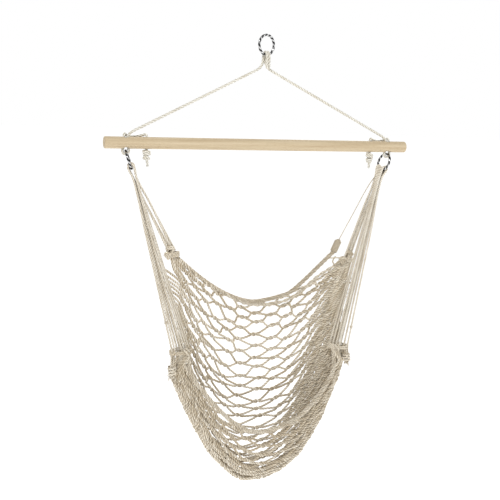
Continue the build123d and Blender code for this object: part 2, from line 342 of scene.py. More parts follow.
def cord_material(name, groove_shade, body, crest, seed, spread):
    """Twisted cotton: painted shade between the strands, with soft yarn lines and stains."""
    material, nodes, links, shader = new_material(name)
    place = nodes.new("ShaderNodeTexCoord").outputs["Object"]
    # Dark brown between the strands is painted shade; the crests keep the cord's light colour.
    shade = coloured(nodes, links, attribute(nodes, "groove_shade"), [(0.0, groove_shade), (0.45, body), (1.0, crest)])
    stain = noise(nodes, links, place, 38.0 + seed, 4.0)
    stains = [(0.25, (0.80, 0.76, 0.69)), (0.65, (1.0, 1.0, 1.0))]
    stained = coloured(nodes, links, stain.outputs["Fac"], stains)
    both = multiplied(nodes, links, 0.8, shade, stained)
    lots = [(0.0, (0.76, 0.715, 0.64)), (0.5, (0.97, 0.96, 0.94)), (1.0, (1.0, 1.0, 1.0))]
    lot = coloured(nodes, links, attribute(nodes, "tone"), lots)
    links.new(multiplied(nodes, links, spread, both, lot), shader.inputs["Base Color"])
    yarn = noise(nodes, links, place, 1400.0, 3.0)
    add_bump(nodes, links, shader, yarn.outputs["Fac"], 0.45, 0.0006)
    shader.inputs["Roughness"].default_value = 0.92
    shader.inputs["Sheen Weight"].default_value = 0.25
    shader.inputs["Sheen Roughness"].default_value = 0.5
    shader.inputs["Specular IOR Level"].default_value = 0.2
    return material


def beech_material():
    """Sanded beech: long faint growth lines, short dark flecks and a fine grain."""
    material, nodes, links, shader = new_material("beech")
    place = nodes.new("ShaderNodeTexCoord").outputs["Object"]
    grain = noise(nodes, links, stretched(nodes, links, place, (1.3, 60.0, 60.0)), 2.2, 5.0)
    grain.inputs["Roughness"].default_value = 0.6
    browns = [(0.30, (0.46, 0.345, 0.21)), (0.5, (0.56, 0.45, 0.29)), (0.72, (0.64, 0.53, 0.37))]
    shade = coloured(nodes, links, grain.outputs["Fac"], browns)
    fleck = noise(nodes, links, stretched(nodes, links, place, (30.0, 420.0, 420.0)), 3.0, 2.0)
    flecks = [(0.30, (0.80, 0.72, 0.62)), (0.42, (1.0, 1.0, 1.0))]
    dark = coloured(nodes, links, fleck.outputs["Fac"], flecks)
    links.new(multiplied(nodes, links, 0.8, shade, dark), shader.inputs["Base Color"])
    add_bump(nodes, links, shader, fleck.outputs["Fac"], 0.15, 0.0004)
    shader.inputs["Roughness"].default_value = 0.55
    return material


def steel_material():
    """Plated steel: bright on the wires' crests, with painted shade, near black, between them."""
    material, nodes, links, shader = new_material("plated_steel")
    # Near black between the wires is painted shade; the crests keep the plated steel's grey.
    steel_and_shade = [(0.48, (0.02, 0.02, 0.021)), (0.72, (0.15, 0.15, 0.15)), (0.97, (0.62, 0.62, 0.62))]
    links.new(coloured(nodes, links, attribute(nodes, "groove_shade"), steel_and_shade), shader.inputs["Base Color"])
    cloud = noise(nodes, links, nodes.new("ShaderNodeTexCoord").outputs["Object"], 160.0, 4.0)
    rough = nodes.new("ShaderNodeMapRange")
    rough.inputs["To Min"].default_value = 0.12
    rough.inputs["To Max"].default_value = 0.30
    links.new(cloud.outputs["Fac"], rough.inputs["Value"])
    links.new(rough.outputs["Result"], shader.inputs["Roughness"])
    shader.inputs["Metallic"].default_value = 1.0
    return material


# The first colour of each cord material is the painted shade between its strands.
COTTON = cord_material("cotton_cord", (0.115, 0.075, 0.042), (0.62, 0.53, 0.40), (0.98, 0.92, 0.80),
                       seed=0.0, spread=1.0)
CLEW = cord_material("clew_cord", (0.20, 0.15, 0.10), (0.68, 0.61, 0.50), (0.96, 0.92, 0.83),
                     seed=7.0, spread=0.6)
WHITE = cord_material("white_rope", (0.27, 0.24, 0.18), (0.68, 0.65, 0.57), (0.86, 0.84, 0.77),
                      seed=3.0, spread=0.2)
BEECH = beech_material()
STEEL = steel_material()


# ---- the net's surface -----------------------------------------------------------------
# The seat's lowest line in y and z, from the back border's middle down and up to the front one's.
PROFILE = np.array([(80, -749), (100, -880), (102, -1010), (88, -1130), (56, -1225),
                    (12, -1258), (-24, -1205), (-38, -1100)]) * MM
LOW_LINE = catmull(np.insert(PROFILE, 0, 0.0, axis=1), 24)
LOW_LENGTH = arc_lengths(LOW_LINE)[-1]
LOW_X_BACK = -4.0 * MM
LOW_X_FRONT = -30.0 * MM


def side_line(side, v):
    """Edge of the seat: from the back knot down to the front knot, and up to the tie."""
    knot = side["back_knot"]
    tie = side["seat_tie"]
    front = side["front_knot"]
    sign = side["sign"]
    down = min(v / side["edge_fall"], 1.0) ** side["edge_ease"]
    up = max((v - 0.8) / 0.2, 0.0)
    x = mix(knot[0] - sign * 14 * MM, tie[0] - sign * 4 * MM, min(down * side["edge_lead"], 1.0))
    x = mix(x, front[0] + sign * 6 * MM, min(max((v - 0.42) / 0.36, 0.0), 1.0))
    x = mix(x, tie[0] + sign * 4 * MM, up)
    y = mix(knot[1] - 4 * MM, 22.0 * MM + SEAT_SHIFT_Y, down) - 38.0 * MM * up
    z = mix(knot[2] - 12 * MM, front[2] + 6.0 * MM, down)
    z = mix(z, tie[2] - 20 * MM, up)
    return np.array([x, y, z])


def steepness(left, v):
    """How sharply a rope rises toward its side: low values hang like a V."""
    if left:
        return 1.6 + 1.6 * v * (1 - v)
    crowd = math.sin(math.pi * min(max((v - 0.08) / 0.6, 0.0), 1.0)) ** 2
    return 2.6 - 0.8 * math.exp(-v / 0.06) + 0.22 * v * (1 - v) + 0.5 * crowd


CURVE_STEPS = 90                # on each side of the lowest point


def net_curve(v):
    """The rope line across the seat at v, from the left side to the right."""
    v = min(max(v, 0.0), 1.0)
    low = along(LOW_LINE, [v * LOW_LENGTH])[0]
    low[0] = mix(LOW_X_BACK, LOW_X_FRONT, v)
    low[1] += SEAT_SHIFT_Y
    left = side_line(LEFT, v)
    right = side_line(RIGHT, v)
    u = np.linspace(-1, 1, 2 * CURVE_STEPS + 1)
    t = np.abs(u)
    side = np.where(u[:, None] < 0, left[None, :], right[None, :])
    steep = np.where(u < 0, steepness(True, v), steepness(False, v))
    points = np.empty((len(u), 3))
    points[:, 0] = mix(low[0], side[:, 0], t)
    points[:, 1] = mix(low[1], side[:, 1], t ** 2)
    points[:, 2] = mix(low[2], side[:, 2], t ** steep)
    return points


CURVES = {}                     # rope lines already worked out, by their rounded v


def net_point(a, v):
    """A point of the net: a is the share of the rope's length from the left."""
    key = round(float(v), 4)
    if key not in CURVES:
        curve = net_curve(key)
        CURVES[key] = (curve, arc_lengths(curve)[-1])
    curve, total = CURVES[key]
    return along(curve, [min(max(a, 0.0), 1.0) * total])[0]


# ---- the net ---------------------------------------------------------------------------
NET_ROPES = 58
NET_COLUMNS = 13
EDGE_COLUMN = 0.075             # the outermost twists, as a share of the rope's length
TWIST_HALF = 15.5 * MM          # half the length over which two ropes are twisted together
TWIST_STEPS = 3
TWIST_GAP = 0.45                # from a twist's middle to each rope's, in rope diameters
JITTER_LIMIT = 1.8
JITTER_ACROSS = 0.2             # shares of the spacing between ropes
DRIFT_ACROSS = 0.28
JITTER_ALONG = 0.10             # share of the spacing between columns
JITTER_OUT = 1.6 * MM
JITTER_TWIST = 0.12
DRIFT_WAVES = ((2.3, 0.9), (3.7, 0.7), (6.1, 0.45), (9.2, 0.3))     # waves over the net, size
EDGE_CALM = 0.2                 # the outermost ropes keep this share of the jitter
LEAST_SPACING = 0.004
NEAR = 0.01                     # step, as a share, for directions on the net's surface
EDGE_OFFSET = 2.0 * MM
ROPE_STEP = 2.2 * MM
NET_PIECES = 4


def clew_end(side, i, outer):
    """Lower end of one leg of clew cord i, at the back knot or at the seat tie."""
    knot = side["back_knot"]
    tie = side["seat_tie"]
    if i < FRONT_CLEW_CORDS:
        spread = (-1.0 + 9.0 * (3 - i)) * MM if outer else (-27.0 + 8.5 * (3 - i)) * MM
        return np.array([tie[0] + side["sign"] * spread, tie[1] + 5.0 * MM * (i - 1.5), tie[2]])
    beside = BACK_LEGS[side["name"]][outer][i - FRONT_CLEW_CORDS]
    return np.array([knot[0] + beside, knot[1] + 7.0 * MM * (i - 4.5), knot[2] + 8 * MM])


def gather(side, v, inner):
    """Where a net rope goes past its last twist, up to the knot, cords or tie holding it."""
    knot = side["back_knot"]
    tie = side["seat_tie"]
    front = side["front_knot"]
    sign = side["sign"]
    edge = side_line(side, v)
    wobble = RNG.normal(0, 1.0, 3) * MM
    first = side["to_knot"]
    last = side["to_cords"]
    if v < first:
        share = v / first
        reach = mix(side["knot_reach"], -8 * MM, share)
        end = knot + np.array([-sign * reach, mix(6, -6, share) * MM, -10.0 * MM])
        start = mix(inner, edge, 0.55)
        middle = mix(start, end, 0.5) + np.array([sign * mix(-2, 8, share), 0, -3]) * MM
        return [start, middle + wobble, end]
    if v < last:
        share = (v - first) / (last - first)
        foot = mix(inner, edge, 0.8)
        ring = ring_point(side, 0, 0, 2 * SEAT_RING_R)
        top_z = mix(knot[2] - 32 * MM, tie[2] + side["cord_lift"], share)
        f = (ring[2] - top_z) / (ring[2] - tie[2])
        cords = mix(ring, tie, f) + np.array([-sign * 14 * MM * f, 8 * MM, 0])
        cords[2] = top_z
        middle = mix(foot, cords, 0.5) + np.array([-sign * 3 * MM, 2 * MM, 0])
        return [foot, middle + wobble, cords + wobble]
    share = (v - last) / (1 - last)
    end = tie + np.array([sign * mix(22, -26, share), mix(7, -7, share), -4.0]) * MM
    if share < 0.35:
        end = front + np.array([-sign * mix(4, -4, share), 0, 4.0]) * MM
    start = mix(inner, edge, 0.5)
    return [start, mix(start, end, 0.5) + wobble, end]


def ring_point(side, x, y, z):
    """Place of a point given along the seat ring's own axes: z runs down from its top wire."""
    lean = side["sign"] * side["lean"]
    c, s = math.cos(side["twist"]), math.sin(side["twist"])
    x, y = x * c - y * s, x * s + y * c
    c, s = math.cos(lean), math.sin(lean)
    return np.array([side["sign"] * HOLE_OUT_X + x * c - z * s, y, RING_TOP_Z - x * s - z * c])


def net_jitter():
    """How far each twist sits from its regular place: across, along and out of the net."""
    jitter = RNG.normal(0, 1, (NET_COLUMNS, NET_ROPES + 2, 3))
    return np.clip(jitter, -JITTER_LIMIT, JITTER_LIMIT)


def bunching():
    """Slow drift of the twists across the net, which opens some cells and closes others."""
    i, j = np.meshgrid(np.arange(NET_COLUMNS), np.arange(NET_ROPES + 2), indexing="ij")
    drift = np.zeros(i.shape)
    for wave, size in DRIFT_WAVES:
        a, b, c = RNG.uniform(0.5, 1.0), RNG.uniform(-0.5, 0.5), RNG.uniform(0, 2 * math.pi)
        drift += size * np.sin(2 * math.pi * wave * (a * j / NET_ROPES + b * i / NET_COLUMNS) + c)
    fade = np.sin(math.pi * np.clip(j / NET_ROPES, 0, 1)) ** 0.5
    return drift * fade


def rope_places():
    """Share of the seat's lowest line for each rope: they crowd under the sitter."""
    v = np.linspace(0, 1, 400)
    crowd = 1.0 + 1.3 * np.exp(-((v - 0.70) / 0.17) ** 2) + 0.5 * np.exp(-(v / 0.05) ** 2)
    share = np.concatenate([[0], np.cumsum((crowd[1:] + crowd[:-1]) / 2)])
    return np.interp(np.linspace(0, share[-1], NET_ROPES), share, v)


def build_net():
    """Ropes from side to side, each twisted a whole turn round one neighbour, then the other."""
    jitter = net_jitter()
    drift = bunching()
    places = rope_places()
    groups = [Cordage() for _ in range(NET_PIECES)]
    for j in range(NET_ROPES):
        v = places[j]
        points = []
        for i in range(NET_COLUMNS):
            partner = j + 1 if (i + j) % 2 == 0 else j - 1
            upper = 1.0 if partner > j else -1.0
            row = min(j, partner) + 1
            a = EDGE_COLUMN + (1 - 2 * EDGE_COLUMN) * i / (NET_COLUMNS - 1)
            calm = 1.0 if 0 < row < NET_ROPES else EDGE_CALM
            other = places[min(max(partner, 0), NET_ROPES - 1)]
            spacing = abs(other - v) + LEAST_SPACING
            shift = JITTER_ACROSS * jitter[i, row, 0] + DRIFT_ACROSS * drift[i, row]
            centre_v = (v + other) / 2 + spacing * shift * calm
            centre_v = min(max(centre_v, 0.0), 1.0)
            a += JITTER_ALONG / NET_COLUMNS * jitter[i, row, 1]
            centre = net_point(a, centre_v)
            ahead = net_point(a + NEAR, centre_v)
            behind = net_point(a - NEAR, centre_v)
            tangent = unit(ahead - behind)
            across = net_point(a, centre_v - NEAR) - net_point(a, centre_v + NEAR)
            across = unit(across - tangent * np.dot(across, tangent))
            normal = np.cross(tangent, across)
            centre = centre + normal * JITTER_OUT * jitter[i, row, 2]
            if not 0 < row < NET_ROPES:
                points.append(centre + across * upper * EDGE_OFFSET)
                continue
            half = TWIST_HALF * (1.0 + JITTER_TWIST * jitter[i, row, 1])
            for k in range(-TWIST_STEPS, TWIST_STEPS + 1):
                angle = math.pi * (k / TWIST_STEPS + 1)
                offset = (across * math.cos(angle) + normal * math.sin(angle)) * upper * NET_D * TWIST_GAP
                points.append(centre + tangent * half * k / TWIST_STEPS + offset)
        points = np.array(points)
        left = gather(LEFT, v, points[0])[::-1]
        right = gather(RIGHT, v, points[-1])
        path = catmull(np.vstack([left, points, right]), 6)
        groups[NET_PIECES * j // NET_ROPES].add(path, NET_D, step=ROPE_STEP)
    for k, group in enumerate(groups):
        group.build(f"net_cords_{k + 1}", COTTON, "seat", "cotton_cord", "net_panel")


# ---- borders ---------------------------------------------------------------------------
def braid(cordage, path, cords, reach, pitch, diameter):
    """Cords laid round each other along a path."""
    path = resample(path, 4 * MM)
    n, b = frames(path)
    lengths = arc_lengths(path)
    for k in range(cords):
        angle = 2 * math.pi * (lengths / pitch + k / cords)
        offset = n * (np.cos(angle) * reach)[:, None] + b * (np.sin(angle) * reach)[:, None]
        cordage.add(path + offset, diameter)


SLEEVE_LOW = np.array([232.0 * MM, 52.0 * MM + SEAT_SHIFT_Y, -607.0 * MM])
SLEEVE_TOP = np.array([248.0 * MM, 52.0 * MM + SEAT_SHIFT_Y, -572.0 * MM])
BORDER_CORDS = 4
BORDER_REACH = 4.0 * MM         # from the border's middle line to each of its cords
BORDER_PITCH = 60.0 * MM
BORDER_ENDS = 0.91              # share of the net's width that a border follows
BACK_BORDER_ENDS = 0.68         # where the back one leaves the net for its sleeve


def border_path(v, start, end, last):
    inner = [net_point(a, v) for a in np.linspace(0.09, last, 13)]
    return catmull([start] + inner + [end], 10)


def build_borders():
    """Both borders, and the cords that leave the back one for the right back knot."""
    back = Cordage()
    start = LEFT["back_knot"] + np.array([4, 2, -4]) * MM
    way = unit(SLEEVE_TOP - SLEEVE_LOW)
    path = border_path(0.0, start, SLEEVE_LOW, BACK_BORDER_ENDS)
    served = [SLEEVE_LOW, mix(SLEEVE_LOW, SLEEVE_TOP, 0.5), SLEEVE_TOP - way * 3 * MM]
    path = np.vstack([path, catmull(served, 6)[1:]])
    braid(back, path, BORDER_CORDS, BORDER_REACH, BORDER_PITCH, CORD_D)
    under = along(path, np.linspace(0.43, 0.84, 7) * arc_lengths(path)[-1])
    under[:, 2] -= np.linspace(8, 29, 7) * MM
    end = RIGHT["back_knot"] + np.array([-25, -5, -9]) * MM
    second = catmull(np.vstack([path[len(path) // 4], under, end]), 8)
    braid(back, second, 2, 2.8 * MM, 45 * MM, CORD_D)
    back.build("back_border", COTTON, "seat", "cotton_cord", "back_border_rope")
    front = Cordage()
    start = LEFT["seat_tie"] + np.array([16, -5, -4]) * MM
    end = RIGHT["seat_tie"] + np.array([-16, -5, -4]) * MM
    path = border_path(1.0, start, end, BORDER_ENDS)
    braid(front, path, BORDER_CORDS, BORDER_REACH, BORDER_PITCH, CORD_D)
    front.build("front_border", COTTON, "seat", "cotton_cord", "front_border_rope")


# Places on the seat with a loose yarn end: share along the rope, share across the seat.
LOOSE_ENDS = [(0.62, 0.80), (0.66, 0.78), (0.22, 0.90), (0.30, 0.86), (0.14, 0.55)]
CORNER_FRAYS = 9


def build_frays():
    """Loose yarn ends at the corners and a few along the seat."""
    frays = Cordage()
    for side in (LEFT, RIGHT):
        sign = side["sign"]
        for _ in range(CORNER_FRAYS):
            place = mix(side["seat_tie"], side["front_knot"], RNG.uniform(0.0, 1.15))
            aside = [sign * RNG.uniform(-6, 12), RNG.uniform(-14, 6), RNG.uniform(-6, 4)]
            root = place + np.array(aside) * MM
            hang = [sign * RNG.uniform(-6, 14), RNG.uniform(-8, 4), -RNG.uniform(8, 22)]
            tip = root + np.array(hang) * MM
            bend = mix(root, tip, 0.5) + RNG.normal(0, 3, 3) * MM
            frays.add(catmull([root, bend, tip], 6), RNG.uniform(1.3, 2.2) * MM, taper=0.5)
    for place in LOOSE_ENDS:
        root = net_point(*place)
        tip = root + np.array([RNG.uniform(-6, 6), -RNG.uniform(4, 12), -RNG.uniform(12, 26)]) * MM
        bend = mix(root, tip, 0.5) + RNG.normal(0, 3, 3) * MM
        frays.add(catmull([root, bend, tip], 6), 1.8 * MM, taper=0.5)
    frays.build("loose_ends", COTTON, "seat", "cotton_cord")


def build_sleeve():
    """The border's end, served with thin cord, and the cord that holds it up."""
    wrap = Cordage()
    axis = SLEEVE_TOP - SLEEVE_LOW
    coil = helix(mix(SLEEVE_LOW, SLEEVE_TOP, 0.5), axis, 9.2 * MM, 8.6 * MM, 12, 34 * MM)
    wrap.add(coil, 3.4 * MM, step=1.6 * MM)
    cap = helix(SLEEVE_TOP, axis, 5.0 * MM, 4.6 * MM, 2.2, 5 * MM)
    wrap.add(cap, 3.4 * MM, step=1.6 * MM)
    wrap.build("border_whipping", COTTON, "seat", "cotton_cord", "border_end_sleeve")
    cord = Cordage()
    top = ring_point(RIGHT, -16.3 * MM, 12 * MM, 107 * MM)
    eye = ring_point(RIGHT, -5.5 * MM, 4 * MM, 60 * MM)
    cord.add(catmull([SLEEVE_TOP - unit(axis) * 3 * MM, mix(SLEEVE_TOP, top, 0.5), top, eye], 10),
             3.2 * MM, step=1.8 * MM)
    knot = RIGHT["back_knot"]
    strand = [mix(net_point(0.62, 0.0), SLEEVE_LOW, 0.86), SLEEVE_LOW + np.array([9, -5, -16]) * MM,
              knot + np.array([-22, -6, 3]) * MM, knot + np.array([-8, -8, 1]) * MM]
    cord.add(catmull(strand, 8), 4.4 * MM, step=1.8 * MM)
    loop = [SLEEVE_LOW + np.array([6, -4, -12]) * MM, SLEEVE_LOW + np.array([-3, -6, -27]) * MM,
            SLEEVE_LOW + np.array([5, -7, -36]) * MM, SLEEVE_LOW + np.array([14, -5, -28]) * MM,
            knot + np.array([-18, -5, -5]) * MM]
    cord.add(catmull(loop, 8), 4.4 * MM, step=1.8 * MM)
    cord.build("border_cord_line", COTTON, "seat", "cotton_cord", "border_cord")


# ---- clews, knots and ties -------------------------------------------------------------
def build_clew(side):
    """Six doubled cords over the ring's wire, each with two straight legs."""
    cords = Cordage()
    bend = EYE_BEND_R
    for i in range(CLEW_CORDS):
        y = (i - 2.5) * EYE_PITCH
        lift = SEAT_RING_R - math.sqrt(SEAT_RING_R ** 2 - y ** 2)
        wire = 2 * SEAT_RING_R - lift
        out = side["sign"]
        arch = []
        for k in range(7):
            angle = math.pi * k / 6
            arch.append(ring_point(side, out * bend * math.cos(angle), y, wire - bend * math.sin(angle)))
        ends = []
        for outer in (True, False):
            foot = clew_end(side, i, outer)
            neck = ring_point(side, out * (bend if outer else -bend) * 0.55, y * 0.72, wire + 30 * MM)
            sway = RNG.normal(0, 1.1, 3) * MM
            leg = [neck, mix(neck, foot, 0.33) + sway, mix(neck, foot, 0.66) + sway * 0.7, foot]
            ends.append(leg)
        line = ends[0][::-1] + arch + ends[1]
        cords.add(catmull(line, 12), CLEW_D, lobe=LOBE_12, step=2.1 * MM)
    name = side["name"]
    nodes = [f"clew_eyes_{name}"] + [f"clew_cord_{name}_{k + 1:02d}" for k in range(2 * CLEW_CORDS)]
    cords.build(f"clew_{name}", CLEW, "seat", "cotton_cord", *nodes)


def build_back_knot(side):
    """The net's gathered cords bound to the back cords: a flat band, with lumps over and beside it."""
    knot = Cordage()
    centre = side["back_knot"]
    sign = side["sign"]
    ring = ring_point(side, 0, 0, 2 * SEAT_RING_R)
    axis = unit(ring - centre)
    band = helix(centre - axis * 4 * MM, (0.10 * sign, 0.1, 1), 17 * MM, 10 * MM, 3.3, 15 * MM, start=0.6)
    tail = band[-1] + np.array([sign * 9, -5, -7]) * MM
    knot.add(catmull(np.vstack([band[::2], tail]), 6), CORD_D, lobe=LOBE_12)
    lump = helix(centre + axis * 16 * MM, axis + np.array([0.5, 0.3, 0]), 10.5 * MM, 9 * MM, 2.4, 12 * MM)
    knot.add(catmull(lump[::2], 6), CORD_D, lobe=LOBE_12)
    way = axis + np.array([-0.9, 0.2, 0])
    cross = helix(centre + axis * 7 * MM, way, 13 * MM, 9 * MM, 1.3, 6 * MM, start=2.0)
    knot.add(catmull(cross[::2], 6), CORD_D, lobe=LOBE_12)
    wide = centre + np.array([side["lump_x"], -5 * MM, -5 * MM])
    second = helix(wide, (-0.8, 0.1, -0.55), 10 * MM, 8.5 * MM, 2.3, 13 * MM, start=0.9)
    knot.add(catmull(second[::2], 6), CORD_D, lobe=LOBE_12)
    over = helix(wide + np.array([4, -3, 3]) * MM, (0.3, 0.5, 0.8), 12 * MM, 8 * MM, 1.4, 7 * MM)
    knot.add(catmull(over[::2], 6), CORD_D, lobe=LOBE_12)
    core = [centre + axis * 26 * MM, centre, centre - axis * 16 * MM]
    braid(knot, catmull(core, 8), 4, 4.6 * MM, 60 * MM, CORD_D * 1.1)
    name = side["name"]
    knot.build(f"back_knot_wrap_{name}", COTTON, "seat", "cotton_cord", f"back_knot_{name}")


def build_front_knot(side):
    """Wrapped knot at the front corner, with four yarn ends hanging from it."""
    knot = Cordage()
    centre = side["front_knot"]
    axis = np.array([0.1 * side["sign"], 0.0, 1.0])
    wrap = helix(centre, axis, 10 * MM, 9 * MM, 3.4, 25 * MM)
    knot.add(wrap, CORD_D, lobe=LOBE_12)
    cross = helix(centre, (0.8, 0.3, 0.6), 13 * MM, 9.5 * MM, 1.2, 6 * MM, start=2.0)
    knot.add(cross, CORD_D, lobe=LOBE_12)
    core = [centre + np.array([0, 0, 17]) * MM, centre, centre - np.array([0, 0, 19]) * MM]
    braid(knot, catmull(core, 8), 3, 3.2 * MM, 40 * MM, CORD_D * 1.1)
    for k in range(4):
        root = centre + np.array([side["sign"] * (4 + k), -3 + 2 * k, -12]) * MM
        hang = [side["sign"] * RNG.uniform(1, 7), RNG.uniform(-4, 4), -RNG.uniform(14, 24)]
        tip = root + np.array(hang) * MM
        knot.add(catmull([root, mix(root, tip, 0.5) + RNG.normal(0, 1, 3) * MM, tip], 6),
                 1.5 * MM, taper=0.6)
    name = side["name"]
    knot.build(f"front_knot_wrap_{name}", COTTON, "seat", "cotton_cord", f"front_knot_{name}")


def build_tie(side):
    """Pale cord wrapped flat round the clew cords and the front border's end."""
    tie = Cordage()
    centre = side["seat_tie"]
    sign = side["sign"]
    wrap = helix(centre, (0.10 * sign, 0, 1), 31 * MM, 12 * MM, 2.4, 14 * MM, start=math.pi / 2)
    wrap[:, 2] += 2.0 * MM * np.sin(np.linspace(0, 17, len(wrap)))
    tail = np.array([wrap[-1] + np.array([sign * 6, -3, -5]) * MM,
                     wrap[-1] + np.array([sign * 14, -5, -12]) * MM])
    tie.add(catmull(np.vstack([wrap[::2], tail]), 6), CORD_D * 0.95, lobe=LOBE_12)
    across = centre + np.array([-sign * 12, -14, 0]) * MM
    hump = helix(across, (1, 0, 0.5), 9 * MM, 10 * MM, 1.6, 12 * MM, start=1.0)
    tie.add(catmull(hump[::2], 6), CORD_D * 0.95, lobe=LOBE_12)
    tie.build(f"seat_tie_wrap_{side['name']}", COTTON, "seat", "cotton_cord", f"seat_tie_{side['name']}")


def build_side_rope(side):
    """Cords from the tie down to the front corner's knot, and the small tie on the edge."""
    name = side["name"]
    rope = Cordage()
    tie = side["seat_tie"]
    knot = side["front_knot"]
    for k in range(5):
        dx = (k - 2) * 4.2 * MM
        top = tie + np.array([(knot[0] - tie[0]) * 0.8 + dx, (k % 2 - 0.5) * 8 * MM, 4 * MM])
        end = knot + np.array([dx * 0.6, (k % 2 - 0.5) * 6 * MM, 8 * MM])
        rope.add(catmull([top, mix(top, end, 0.5) + RNG.normal(0, 1, 3) * MM, end], 8), CORD_D)
    rope.build(f"corner_cords_{name}", COTTON, "seat", "cotton_cord", f"side_rope_{name}")
    small = Cordage()
    centre = node_centre(f"edge_tie_{name}")
    axis = unit(ring_point(side, 0, 0, 50 * MM) - side["seat_tie"])
    small.add(helix(centre, axis, 3.6 * MM, 3.6 * MM, 2.3, 6 * MM), 2.6 * MM)
    small.build(f"edge_tie_wrap_{name}", COTTON, "seat", "cotton_cord", f"edge_tie_{name}")


# ---- suspension rope -------------------------------------------------------------------
HITCH_Z = -82.0 * MM
LONG_LEG_STEP = 42.0 * MM        # extra point this far from each end of a straight leg


def hitch_point(side, depth, z):
    c, s = math.cos(HOOK_RING_TURN), math.sin(HOOK_RING_TURN)
    return (side * c - depth * s, side * s + depth * c, z)


def half_route(sign):
    """Control points from the stopper knot to the hitch, as the frame's rope has them."""
    top = (BAR_Z + BAR_R) / MM
    under = (BAR_Z - BAR_R) / MM
    wire = RING_TOP_Z / MM
    ring_low = WIRE_R - 2 * HOOK_RING_R

    def at(dx, y, z):
        return (sign * (HOLE_OUT_X + dx * MM), y * MM, z * MM)

    def inn(dx, y, z):
        return (sign * (HOLE_IN_X + dx * MM), y * MM, z * MM)

    up = [
        inn(0, 0, under - 2), inn(0, 0, top - 8), inn(0, 1, top + 8.5), inn(12, 9.5, top + 3.2),
        inn(30, 15.5, top - 1.5), at(-7, 14.5, top + 0.5), at(4.5, 2.5, top + 10.8), at(3.9, 0, top - 7),
        at(3.9, 0, under + 8), at(9.4, 0, wire + 1.7), at(7.2, 0, wire - 8.8), at(-7.2, 0, wire - 8.8),
        at(-9.4, 0, wire + 1.7), at(-3.9, 0, under + 8), at(-3.9, 0, top + 7),
    ]
    half = sign * 4 * MM
    hitch = [
        hitch_point(half, 8 * MM, HITCH_Z - 2 * MM), hitch_point(half, 8 * MM, ring_low + 8 * MM),
        hitch_point(half, -8 * MM, ring_low + 8 * MM), hitch_point(half, -8 * MM, HITCH_Z),
        hitch_point(half, -8 * MM, HITCH_Z - 4.7 * MM),
    ]
    leg = np.array(hitch[0]) - np.array(up[-1])
    share = LONG_LEG_STEP / np.linalg.norm(leg)
    straight = [tuple(np.array(up[-1]) + leg * share), tuple(np.array(up[-1]) + leg * (1 - share))]
    return up + straight + hitch


def build_suspension():
    """The rope follows the same control points as the frame's, read back from a curve."""
    route = half_route(-1) + half_route(1)[::-1]
    curve = bpy.data.curves.new("suspension_route", "CURVE")
    curve.dimensions = "3D"
    curve.resolution_u = 10
    spline = curve.splines.new("NURBS")
    spline.points.add(len(route) - 1)
    for point, place in zip(spline.points, route):
        point.co = (*place, 1)
    spline.order_u = 3
    spline.use_endpoint_u = True
    holder = bpy.data.objects.new("suspension_route", curve)
    bpy.context.scene.collection.objects.link(holder)
    bpy.context.view_layer.update()
    line = bpy.data.meshes.new_from_object(holder)
    path = np.array([tuple(v.co) for v in line.vertices])
    bpy.data.objects.remove(holder)
    bpy.data.meshes.remove(line)
    rope = Cordage()
    rope.add(path, ROPE_FULL_D, lobe=LOBE_12, step=2.6 * MM)
    piece = rope.build("bridle_rope", WHITE, "hanger", "white_rope", "suspension_rope")
    knots = [build_stopper(side) for side in (LEFT, RIGHT)]


def build_stopper(side):
    """Barrel-shaped stopper knot with its cut, slightly frayed tail."""
    sign = side["sign"]
    x = sign * HOLE_IN_X
    top = BAR_Z - BAR_R - 2 * MM
    knot = Cordage()
    core = [(x, 0, top + 2 * MM), (x, 0, top - 12 * MM), (x + sign * 1 * MM, 0, top - 26 * MM)]
    knot.add(catmull(core, 8), ROPE_D * 0.95, lobe=LOBE_12)
    coil = helix((x, 0, top - 8.0 * MM), (0.15 * sign, 0.05, 1), 7.8 * MM, 7.4 * MM, 2.1, -12 * MM,
                 start=0.8)
    low = helix((x, 0, top - 22 * MM), (-0.35 * sign, 0.05, 1), 6.8 * MM, 6.4 * MM, 1.4, -8 * MM,
                start=2.2)
    tail = [(x - sign * 1 * MM, -2 * MM, top - 31 * MM), (x - sign * 2 * MM, -3 * MM, top - 41 * MM)]
    knot.add(catmull(np.vstack([coil[::2], low[::2], tail]), 6), ROPE_FULL_D, lobe=LOBE_12, step=2.2 * MM)
    for k in range(5):
        angle = 2 * math.pi * k / 5
        root = np.array(tail[1]) + np.array([math.cos(angle) * 1.8, math.sin(angle) * 1.8, 2.0]) * MM
        tip = root + np.array([math.cos(angle) * 2.2, math.sin(angle) * 2.2, -RNG.uniform(5, 8)]) * MM
        knot.add(catmull([root, mix(root, tip, 0.5), tip], 5), 1.7 * MM, taper=0.5)
    name = side["name"]
    return knot.build(f"stopper_{name}", WHITE, "hanger", "white_rope", f"stopper_knot_{name}")


# ---- rings -----------------------------------------------------------------------------
RING_STEPS = 220
WIRE_STEPS = 20
RING_TURNS = 6                  # whole turns, so that the two wires close on themselves


